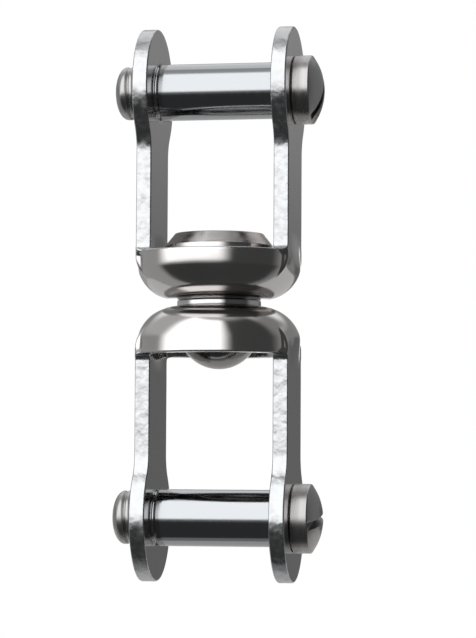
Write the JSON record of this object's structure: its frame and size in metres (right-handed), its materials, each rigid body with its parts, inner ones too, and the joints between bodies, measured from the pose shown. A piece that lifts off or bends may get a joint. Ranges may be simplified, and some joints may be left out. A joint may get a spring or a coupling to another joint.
{
  "type": "jaw and jaw swivel",
  "caption": "Stainless rigging swivel: two pressed forks joined by a turning riveted bolt with a ball thrust bearing, each closed by a slotted clevis pin.",
  "frame": {"origin": "centre of the neck between the two forks, on the swivel axis, which is also the middle of the object's box", "axes": "+Z along the swivel axis towards the upper jaw, +X along both clevis pins towards their slotted heads, +Y away from the side the object is usually seen from"},
  "size_m": [0.037, 0.0292, 0.0974],
  "materials": {
    "fork_plate": "pressed stainless plate, mirror polished, with sheared edges left bright",
    "clevis_pin": "turned stainless, fine tool lines round the shank",
    "swivel_bolt": "turned stainless, polished domed head",
    "bearing_collar": "turned stainless, satin chamfer",
    "neck_washer": "polished stainless",
    "bearing_race": "hardened and ground steel",
    "bearing_ball": "ground and lapped steel"
  },
  "bodies": {
    "upper_half": {"upper_fork": "fork_plate", "lower_race": "bearing_race"},
    "lower_half": {"lower_fork": "fork_plate", "swivel_bolt": "swivel_bolt", "bearing_collar": "bearing_collar", "upper_race": "bearing_race", "neck_washer": "neck_washer"},
    "ball_ring": {"ball_01": "bearing_ball", "ball_02": "bearing_ball", "ball_03": "bearing_ball", "ball_04": "bearing_ball", "ball_05": "bearing_ball", "ball_06": "bearing_ball", "ball_07": "bearing_ball", "ball_08": "bearing_ball", "ball_09": "bearing_ball", "ball_10": "bearing_ball", "ball_11": "bearing_ball", "ball_12": "bearing_ball", "ball_13": "bearing_ball", "ball_14": "bearing_ball", "ball_15": "bearing_ball", "ball_16": "bearing_ball"},
    "upper_pin": {"upper_clevis_pin": "clevis_pin"},
    "lower_pin": {"lower_clevis_pin": "clevis_pin"}
  },
  "joints": [
    {"name": "swivel_turn", "type": "hinge", "parent": "upper_half", "child": "lower_half", "pos_m": [0, 0, 0], "axis": [0, 0, 1], "continuous": true},
    {"name": "ball_orbit", "type": "hinge", "parent": "upper_half", "child": "ball_ring", "pos_m": [0, 0, 0], "axis": [0, 0, 1], "continuous": true},
    {"name": "upper_pin_draw", "type": "slide", "parent": "upper_half", "child": "upper_pin", "axis": [1, 0, 0], "range_m": [0, 0.03]},
    {"name": "lower_pin_draw", "type": "slide", "parent": "lower_half", "child": "lower_pin", "axis": [1, 0, 0], "range_m": [0, 0.03]}
  ],
  "couplings": [
    {"joint": "ball_orbit", "follows": "swivel_turn", "ratio": 0.5}
  ]
}
